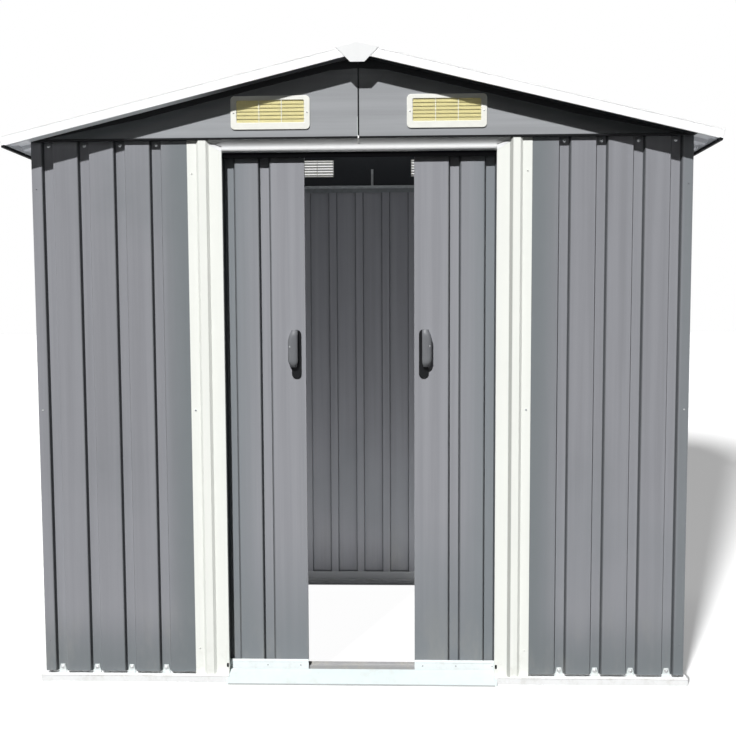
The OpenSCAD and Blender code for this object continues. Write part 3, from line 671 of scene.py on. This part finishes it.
def add_gable_seams():
    """A dark bead in the joint between two gable sheets, a pale strip beside it as a painted highlight on the
    fold, and a clip at its foot.
    """
    foot, head, fold_head = 1.6003, 1.8000, 1.6550
    bead_in, bead_out, fold_in, fold_out = 0.6065, 0.6081, 0.6078, 0.6088
    # The clip's half width, height and face in three rows; the rib is behind the joint, inside
    clip_rows = ((0.0016, 1.6012, 0.6113), (0.0018, 1.5940, 0.6136), (0.0030, 1.5820, 0.6050))
    rib_section = [(1.6010, 0.5866), (1.6010, 0.5880), (1.6640, 0.5880), (1.6660, 0.5872)]
    for facing in ("front", "back"):
        bead, fold, clip, rib = (Shape(facing) for _ in range(4))
        bead.bar([(foot, bead_in), (foot, bead_out), (head, bead_out), (head, bead_in)], -0.0020, 0.0025)
        fold.bar([(foot, fold_in), (foot, fold_out), (fold_head, fold_out), (fold_head, fold_in)],
                 -0.0036, -0.0020)
        clip.skin([clip.ring([(-half, b, c - 3 * MM), (half, b, c - 3 * MM), (half, b, c), (-half, b, c)])
                   for half, b, c in clip_rows])
        rib.bar(rib_section, -0.0045, 0.0045)
        bead.piece(f"gable_seam_{facing}", SHED, "glide_plastic", BLACK)
        # The fold's pale tone is a painted highlight.
        fold.piece(f"gable_fold_{facing}", SHED, "wall_sheet", CLIP)
        if facing == "front":
            clip.piece("header_clip", SHED, "white_trim", WHITE)
        rib.piece(f"gable_rib_{facing}", SHED, "track_steel", SCREW)


def add_jamb_fixings():
    """Screws on the jambs' outer flats, and a black patch for the drain slot above each corner of the
    threshold, which paints the shade inside the slot.
    """
    screw_mid, painted_at = 0.815, (0.10, 1.50)
    slot_x, slot_z, slot_wide, slot_tall, slot_round = 0.3996, 0.0490, 0.0062, 0.0130, 0.0029
    screws, painted, slots = (Shape("front") for _ in range(3))
    for sign in (-1, 1):
        screws.screw(sign * JAMB_SCREWS, screw_mid, JAMB_FACE, 0.72, washer=False)
        for b in painted_at:
            painted.screw(sign * JAMB_SCREWS, b, JAMB_FACE, 0.6, washer=False)
        slots.plate(rounded_outline(sign * slot_x, slot_z, slot_wide, slot_tall, slot_round),
                    JAMB_FACE - 0.2 * MM, JAMB_FACE + 0.4 * MM, 0.2 * MM)
    screws.piece("door_jamb_screws", SHED, "track_steel", ZINC, BLACK)
    painted.piece("door_jamb_painted_screws", SHED, "white_trim", JAMB, JAMB)
    # Black patches, as painted shade inside the drain slots.
    slots.piece("door_jamb_slots", SHED, "glide_plastic", BLACK)


def add_rail_beads():
    """A thin grey bead along the fold of the base rails."""
    long_face, side_face, doorway, side_end = 0.612, 0.962, 0.3965, 0.6115
    section = ((0.0168, -0.0002), (0.0172, 0.0005), (0.0192, 0.0005), (0.0197, -0.0002))
    spans = {
        "front": (long_face, ((-side_face, -doorway), (doorway, side_face))),
        "back": (long_face, ((-side_face, side_face),)),
        "left": (side_face, ((-side_end, side_end),)),
        "right": (side_face, ((-side_end, side_end),)),
    }
    for facing, (face, runs) in spans.items():
        bead = Shape(facing)
        for a0, a1 in runs:
            bead.bar([(b, face + out) for b, out in section], a0, a1)
        bead.piece(f"base_rail_{facing}_bead", SHED, "base_rail", BEAD)


def add_sill_parts():
    """Rubber foot and end plates of the threshold, and the cap and screws of the doors' bottom strips."""
    low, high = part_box("threshold_ramp")
    toe = -low.y
    foot = Shape("front")
    foot.bar([(0.0002, toe - 0.004), (0.0002, toe + 0.0012), (0.0026, toe + 0.0008), (0.0032, toe - 0.003)],
             low.x, high.x)
    foot.piece("threshold_foot", SHED, "glide_plastic", RUBBER)

    end_profile, end_in, end_out = ((0.0005, 0.6316), (0.0222, 0.6018), (0.0005, 0.6018)), 0.3949, 0.4015
    ends = Shape("front")
    for sign in (-1, 1):
        ends.skin([ends.ring([(sign * a, b, c) for b, c in end_profile]) for a in (end_in, end_out)])
    ends.piece("threshold_ends", SHED, "base_rail", SILL)

    strip_in, strip_out, strip_face = 0.1592, 0.5988, 0.5782
    cap_profile = ((0.0525, 0.0), (0.0525, 0.0015), (0.0590, 0.0015), (0.0612, 0.0008), (0.0612, 0.0))
    screw_runs, screw_low = (0.1830, 0.2820, 0.3900, 0.4850, 0.5800), 0.0435
    for side, sign in SIDE_SIGNS:
        a0, a1 = sorted((sign * strip_in, sign * strip_out))
        cap, screws = Shape("front"), Shape("front")
        cap.bar([(b, strip_face + out) for b, out in cap_profile], a0, a1)
        cap.piece(f"door_{side}_strip_cap", f"{side}_door", "white_trim", STRIP)
        for run in screw_runs:
            screws.screw(sign * run, screw_low, strip_face + 1 * MM, 0.55, washer=False)
        screws.piece(f"door_{side}_strip_screws", f"{side}_door", "track_steel", ZINC, ZINC)


add_wall_fixings()
add_gable_seals()
add_rake_seals()
add_gable_seams()
add_jamb_fixings()
add_sill_parts()
add_rail_beads()


# ---------------------------------------------------------------- roof

def add_roof_fixings():
    """Rows of screws on the flats of the roof sheets: beside the ridge, half way down and at the eaves."""
    lean = math.atan(ROOF_SLOPE)
    c, n = math.cos(lean), math.sin(lean)
    sheet_apex, screw_runs, off_rib = 1.84640, (0.100, 0.500, 0.975), 0.026
    for side, sign in SIDE_SIGNS:
        AXES[f"{side}_slope"] = Matrix(((0, -sign * c, sign * n), (sign, 0, 0), (0, n, c)))
        rows = Shape(f"{side}_slope", (0.0, 0.0, sheet_apex))
        for k in range(12):
            for run in screw_runs:
                rows.screw(sign * (k - 5.5) * PITCH + off_rib * sign, -run / c, 0.0, 1.0)
        rows.piece(f"roof_{side}_screws", SHED, "track_steel", SCREW, BLACK)


def add_roof_edges():
    """A thin bead along the fascias' top edge, soffit strips behind their foot (the right ones black, as
    painted shade), and black strips at the eaves that paint the shade under the eave trims.
    """
    bead_top, bead_runs = 1.8479, (0.062, 1.0120)
    bead_section = ((0.0034, 0.6608), (0.0032, 0.6617), (0.0006, 0.6617), (0.0001, 0.6608))
    soffit_foot, soffit_runs = 1.8218, (0.024, 0.9490)
    soffit_section = ((0.0, 0.6106), (0.0, 0.6516), (0.0010, 0.6516), (0.0010, 0.6106))
    shade_strip_section = ((1.0146, 1.5756), (1.0060, 1.5776), (1.0056, 1.5722), (1.0070, 1.5700), (1.0140, 1.5700))
    shade_strip_end = 0.6606
    for facing in ("front", "back"):
        for side, sign in SIDE_SIGNS:
            turn = sign if facing == "front" else -sign
            bead, soffit = Shape(facing), Shape(facing)
            bead.skin([bead.ring([(turn * run, bead_top - run * ROOF_SLOPE - dz, c)
                                  for dz, c in bead_section]) for run in bead_runs])
            soffit.skin([soffit.ring([(turn * run, soffit_foot - run * ROOF_SLOPE + dz, c)
                                      for dz, c in soffit_section]) for run in soffit_runs])
            bead.piece(f"fascia_bead_{facing}_{side}", SHED, "white_trim", BEAD)
            # The left soffits are lit by the eave_bounce lamp and turn black towards the middle, as painted
            # shade; the right ones are black, as painted shade.
            soffit.piece(f"soffit_{facing}_{side}", SHED, "roof_sheet", SOFFIT if side == "left" else BLACK)
    # Black strips along the eave trims' lower edges, as painted shade.
    for side, sign in SIDE_SIGNS:
        shade_strip = Shape("front")
        shade_strip.skin([shade_strip.ring([(sign * a, b, c) for a, b in shade_strip_section]) for c in (-shade_strip_end, shade_strip_end)])
        shade_strip.piece(f"eave_drip_{side}", SHED, "glide_plastic", BLACK)


# ---------------------------------------------------------------- vents

def add_vent(facing, side, centre):
    """A moulded frame with a rounded face, six sloping slats and two slim posts in front of them."""
    node = f"vent_{facing}_{side}"
    low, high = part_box(node)
    wide, tall, mid = high.x - low.x, high.z - low.z, (high.z + low.z) / 2
    gable, face, back, bevel = GABLE_FACE, 0.611, 0.600, 1 * MM
    open_wide, open_tall, lift = 0.1935, 0.0625, 0.00375
    corner, hole_corner = 0.012, 0.0035
    sill = mid + lift - open_tall / 2
    frame_shape = Shape(facing)
    outer = [rounded_outline(centre, mid, wide - 2 * r, tall - 2 * r, corner - r) for r in (0, bevel)]
    hole = [rounded_outline(centre, mid + lift, open_wide + 2 * r, open_tall + 2 * r, hole_corner + r)
            for r in (0, bevel)]
    layers = ((outer[0], gable), (outer[0], face - bevel), (outer[1], face), (hole[1], face),
              (hole[0], face - bevel), (hole[0], back), (hole[1], back), (hole[1], gable))
    rings = [frame_shape.ring([(a, b, c) for a, b in outline]) for outline, c in layers]
    frame_shape.skin(rings + [rings[0]], caps=False)
    piece = frame_shape.piece(f"{node}_frame", SHED, "vent_plastic", VENT)
    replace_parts(piece, node)

    slats = Shape(facing)
    count, half = 6, (0.0053 if facing == "front" else 0.0034)
    slat_back, slat_front, thick = 0.6064, 0.6098, 1 * MM
    pitch = open_tall / count
    for k in range(count):
        b = sill + (k + 0.5) * pitch
        slats.bar([(b + half - 0.1 * MM, slat_back), (b + half, slat_back + thick),
                   (b - half + 0.6 * MM, slat_front), (b - half, slat_front), (b - half, slat_front - thick)],
                  centre - open_wide / 2, centre + open_wide / 2)
    slats.piece(f"{node}_slats", SHED, "vent_plastic", LOUVRE)

    posts, post_in, post_out, post_half = Shape(facing), 0.6095, 0.6106, 0.0011
    head = mid + lift + open_tall / 2
    for s in (-1, 1):
        a = centre + s * open_wide / 6
        posts.bar([(sill, post_in), (sill, post_out), (head, post_out), (head, post_in)],
                  a - post_half, a + post_half)
    posts.piece(f"{node}_posts", SHED, "vent_plastic", VENT)

    screws = Shape(facing)
    for s in (-1, 1):
        screws.screw(centre + s * (open_wide + wide) / 4, mid, face, 0.55, washer=False)
    screws.piece(f"{node}_screws", SHED, "track_steel", SCREW, BLACK)


add_roof_fixings()
add_roof_edges()
for vent_facing in ("front", "back"):
    for vent_side in ("left", "right"):
        box_low, box_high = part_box(f"vent_{vent_facing}_{vent_side}")
        flip = 1 if vent_facing == "front" else -1
        add_vent(vent_facing, vent_side, flip * (box_low.x + box_high.x) / 2)


# ---------------------------------------------------------------- door frame

def add_header():
    """The strip over the doorway leans out under the gable, is upright below, and rolls in at its foot."""
    low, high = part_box("door_header")
    foot, back, seat = low.z, -high.y, JAMB_FACE + 0.1 * MM
    top, upright, roll, steps = 1.5936, 0.6012, 0.0105, 20
    tall = top - foot - 0.0034
    # How far down the face a point is, as a share of its height, and how much the face leans out there
    leans = ((0.0, 0.88), (0.15, 0.83), (0.35, 0.68), (0.55, 0.48), (0.70, 0.24), (0.82, 0.03), (1.0, 0.0))

    def lean(t):
        for (t0, s0), (t1, s1) in zip(leans, leans[1:]):
            if t <= t1:
                return s0 + (s1 - s0) * (t - t0) / (t1 - t0)
        return leans[-1][1]

    curve, out = [], upright
    for i in range(steps, -1, -1):
        curve.insert(0, (top - tall * i / steps, out))
        out += lean((i - 0.5) / steps) * tall / steps
    for degrees in range(10, 81, 10):
        t = math.radians(degrees)
        curve.append((top - tall - roll * math.sin(t), upright - roll * (1.0 - math.cos(t))))

    def section(behind, squeeze=1.0):
        points = [(top - (top - b) * squeeze, max(c, behind + 0.1 * MM)) for b, c in curve]
        return points + [(points[-1][0], behind), (top, behind)]

    # Flattened wings lie on the jambs' tops; between the jambs the strip reaches back to the track
    end, wing, step, flattened = high.x, 0.0377, 0.1 * MM, section(seat, 0.35)
    stations = ((-end - wing, flattened), (-end - step, section(seat)), (-end, section(back)),
                (end, section(back)), (end + step, section(seat)), (end + wing, flattened))
    header = Shape("front")
    header.skin([header.ring([(a, b, c) for b, c in points]) for a, points in stations])
    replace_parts(header.piece("door_header_cover", SHED, "white_trim", HEADER), "door_header")

    # A black brush seal behind the header's foot: it casts the shade on the doors' tops, and its near-black
    # tone is also painted shade.
    lip_in, lip_mid, lip_out = 0.5885, 0.5895, 0.5905
    lip_foot, lip_shoulder, lip_top = 1.5440, 1.5446, 1.5630
    lip = Shape("front")
    lip.bar([(lip_shoulder, lip_in), (lip_foot, lip_mid), (lip_shoulder, lip_out), (lip_top, lip_out),
             (lip_top, lip_in)], -end, end)
    lip.piece("door_header_lip", SHED, "glide_plastic", BRUSH)


add_header()


# ---------------------------------------------------------------- door handles

def add_handle(side):
    """A black backplate with a grey hood over it, open towards the middle of the doorway."""
    node = f"door_{side}_handle"
    sign = -1 if side == "left" else 1
    plate = Shape("front")
    plate_in, plate_out, foot, top, corner = 0.1725, 0.2005, 0.906, 1.049, 0.0135
    sheet, face = 0.5780, 0.5815
    outline = rounded_outline(sign * (plate_in + plate_out) / 2, (foot + top) / 2, plate_out - plate_in,
                              top - foot, corner, 8)
    plate.plate(outline, sheet, face, 1 * MM)
    piece = plate.piece(f"{node}_plate", f"{side}_door", "handle_plastic", BLACK)
    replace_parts(piece, node)

    hood = Shape("front")
    low, high, skin, rows = 0.9395, 1.0485, 0.0022, 18
    back_at, free_at, crest_at, end_drop = 0.2110, 0.1815, 0.5990, 0.0075
    rings = []
    for i in range(rows + 1):
        t = i / rows
        b = low + (high - low) * t
        rise = min(1.0, t / 0.14 + 0.25, (1.0 - t) / 0.20 + 0.25)
        rise = rise * rise * (3 - 2 * rise)
        slant, tuck = max(0.0, (t - 0.70) / 0.30) ** 1.3, max(0.0, (0.16 - t) / 0.16)
        back_edge = back_at - 0.0105 * slant - 0.0075 * tuck
        free_edge = free_at + 0.004 * max(0.0, (0.14 - t) / 0.14)
        crest = crest_at - (1.0 - rise) * end_drop
        outside = [(back_edge, sheet), (back_edge - 0.0004, crest - 0.0085),
                   (back_edge - 0.0040, crest - 0.0025), (back_edge - 0.0090, crest),
                   (free_edge + 0.0055, crest - 0.0012), (free_edge + 0.0012, crest - 0.0030),
                   (free_edge, crest - 0.0050)]
        within = [(free_edge + 0.0012, crest - 0.0056), (free_edge + 0.0058, crest - 0.0012 - skin),
                  (back_edge - 0.0095, crest - skin), (back_edge - 0.0045, crest - 0.0062),
                  (back_edge - 0.0024, sheet)]
        rings.append(hood.ring([(sign * a, b, max(c, sheet)) for a, c in outside + within]))
    hood.skin(rings)
    hood.piece(f"{node}_hood", f"{side}_door", "handle_plastic", GRIP, smooth=50.0)

    screws = Shape("front")
    screw_run, screw_height, screw_face = 0.2035, 1.0, 0.5972
    screws.screw(sign * screw_run, screw_height, screw_face, 0.62, washer=False)
    screws.piece(f"{node}_screws", f"{side}_door", "track_steel", SCREW, BLACK)


for door_side in ("left", "right"):
    add_handle(door_side)


# ---------------------------------------------------------------- floor, light, view

def seen_directly(tree):
    """1 for rays from the camera, and for mirror and see-through rays, 0 for light that bounces."""
    path = tree.nodes.new("ShaderNodeLightPath")
    total = path.outputs["Is Camera Ray"]
    for kind in ("Is Glossy Ray", "Is Transmission Ray"):
        either = tree.nodes.new("ShaderNodeMath")
        either.operation = "MAXIMUM"
        tree.links.new(total, either.inputs[0])
        tree.links.new(path.outputs[kind], either.inputs[1])
        total = either.outputs[0]
    return total


def pale_ground(name, tone, glow, bounce):
    """Ground that looks white in the light and keeps the shadow; bounce is how pale it is to the object."""
    mat = bpy.data.materials.new(name)
    mat.use_nodes = True
    tree = mat.node_tree
    tree.nodes.clear()
    out = tree.nodes.new("ShaderNodeOutputMaterial")
    plain = tree.nodes.new("ShaderNodeBsdfDiffuse")
    plain.inputs["Color"].default_value = (bounce, bounce, bounce, 1.0)
    lit = tree.nodes.new("ShaderNodeBsdfDiffuse")
    lit.inputs["Color"].default_value = (tone, tone, tone, 1.0)
    light = tree.nodes.new("ShaderNodeEmission")
    light.inputs["Strength"].default_value = glow
    both = tree.nodes.new("ShaderNodeAddShader")
    tree.links.new(lit.outputs[0], both.inputs[0])
    tree.links.new(light.outputs[0], both.inputs[1])
    mix = tree.nodes.new("ShaderNodeMixShader")
    tree.links.new(seen_directly(tree), mix.inputs[0])
    tree.links.new(plain.outputs[0], mix.inputs[1])
    tree.links.new(both.outputs[0], mix.inputs[2])
    tree.links.new(mix.outputs[0], out.inputs["Surface"])
    return mat


def flat_piece(name, verts, faces, finish):
    """A piece of the stage, which is not part of the shed."""
    mesh = bpy.data.meshes.new(name)
    mesh.from_pydata(verts, [], faces)
    mesh.materials.append(finish)
    obj = bpy.data.objects.new(name, mesh)
    bpy.context.scene.collection.objects.link(obj)
    return obj


def add_floor():
    """A pale floor round the shed, and the paler ground inside its rails."""
    size = 60.0
    low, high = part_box("base_rail_front")[0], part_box("base_rail_back")[1]
    inset = 0.03
    x0, y0, x1, y1 = low.x + inset, low.y + inset, high.x - inset, high.y - inset
    verts = [(-size, -size, 0), (size, -size, 0), (size, size, 0), (-size, size, 0),
             (x0, y0, 0), (x1, y0, 0), (x1, y1, 0), (x0, y1, 0)]
    around = [(0, 1, 5, 4), (1, 2, 6, 5), (2, 3, 7, 6), (3, 0, 4, 7)]
    sunlit = pale_ground("floor_outside", tone=0.60, glow=0.235, bounce=0.02)
    painted_top_shade = pale_ground("floor_inside", tone=0.10, glow=0.97, bounce=0.85)
    outside = flat_piece("floor_outside", verts, around, sunlit)
    flat_piece("floor_inside", verts[4:], [(0, 1, 2, 3)], painted_top_shade)
    return outside


def sun(name, elevation, azimuth, energy, angle):
    """A distant lamp; azimuth is how far to the left of the front it stands."""
    up, turn = math.radians(elevation), math.radians(azimuth)
    toward = Vector((-math.sin(turn) * math.cos(up), -math.cos(turn) * math.cos(up), math.sin(up)))
    data = bpy.data.lights.new(name, "SUN")
    data.energy = energy
    data.angle = math.radians(angle)
    obj = bpy.data.objects.new(name, data)
    obj.rotation_mode = "QUATERNION"
    obj.rotation_quaternion = toward.to_track_quat("Z", "Y")
    bpy.context.scene.collection.objects.link(obj)
    return obj


def light_only(lamp, objects, state, blockers=None):
    """Makes a lamp light only these objects, or everything but these; blockers alone cast its shadows."""
    chosen = bpy.data.collections.new(lamp.name + "_receivers")
    for obj in objects:
        chosen.objects.link(obj)
    for entry in chosen.collection_objects:
        entry.light_linking.link_state = state
    lamp.light_linking.receiver_collection = chosen
    if blockers is not None:
        shading = bpy.data.collections.new(lamp.name + "_blockers")
        for obj in blockers:
            shading.objects.link(obj)
        lamp.light_linking.blocker_collection = shading


def area_light(name, location, turn, wide, tall, energy):
    """A soft lamp that stands for light from pale surfaces; it is not seen itself."""
    data = bpy.data.lights.new(name, "AREA")
    data.shape = "RECTANGLE"
    data.size, data.size_y = wide, tall
    data.energy = energy
    lamp = bpy.data.objects.new(name, data)
    lamp.location = location
    lamp.rotation_euler = turn
    lamp.visible_camera = False
    lamp.visible_glossy = False
    bpy.context.scene.collection.objects.link(lamp)


def add_surround():
    """A world that looks white, and lights the object only a little from the front and more from behind."""
    dim, bright, turn_from, turn_to = 0.03, 0.70, 0.0, 0.45
    world = bpy.data.worlds.new("surround")
    bpy.context.scene.world = world
    world.use_nodes = True
    tree = world.node_tree
    tree.nodes.clear()
    out = tree.nodes.new("ShaderNodeOutputWorld")
    coords = tree.nodes.new("ShaderNodeTexCoord")
    split = tree.nodes.new("ShaderNodeSeparateXYZ")
    tree.links.new(coords.outputs["Generated"], split.inputs[0])
    behind = tree.nodes.new("ShaderNodeMapRange")
    tree.links.new(split.outputs["Y"], behind.inputs["Value"])
    for key, value in (("From Min", turn_from), ("From Max", turn_to), ("To Min", dim), ("To Max", bright)):
        behind.inputs[key].default_value = value
    strength = tree.nodes.new("ShaderNodeMapRange")
    tree.links.new(seen_directly(tree), strength.inputs["Value"])
    tree.links.new(behind.outputs[0], strength.inputs["To Min"])
    strength.inputs["To Max"].default_value = 1.0
    back = tree.nodes.new("ShaderNodeBackground")
    back.inputs["Color"].default_value = (1.0, 1.0, 1.0, 1.0)
    tree.links.new(strength.outputs[0], back.inputs["Strength"])
    tree.links.new(back.outputs[0], out.inputs["Surface"])


def add_light(floor):
    """A key from the upper front left, a low sun that only draws the floor shadow, and bounced light."""
    light_only(sun("key", elevation=47.3, azimuth=18.0, energy=4.65, angle=1.6), [floor], "EXCLUDE")
    light_only(sun("floor_shadow", elevation=16.5, azimuth=20.0, energy=15.0, angle=5.8), [floor], "INCLUDE")
    roof = [obj for name, obj in NODES.items() if name.startswith(("roof_", "fascia_"))]
    soffits = [bpy.data.objects[f"soffit_{facing}_left"] for facing in ("front", "back")]
    bounce = sun("eave_bounce", elevation=-62.0, azimuth=-60.0, energy=3.6, angle=30.0)
    light_only(bounce, roof + soffits, "INCLUDE", blockers=roof)

    upward, inward = (math.pi, 0.0, 0.0), (math.pi / 2, 0.0, 0.0)
    area_light("inside_bounce", (0.0, -0.03, 0.004), upward, wide=1.7, tall=0.90, energy=7.9)
    area_light("doorway_bounce", (0.0, -0.50, 1.40), inward, wide=0.30, tall=0.30, energy=0.9)


add_light(add_floor())
add_surround()
bpy.context.scene.view_settings.view_transform = "Standard"
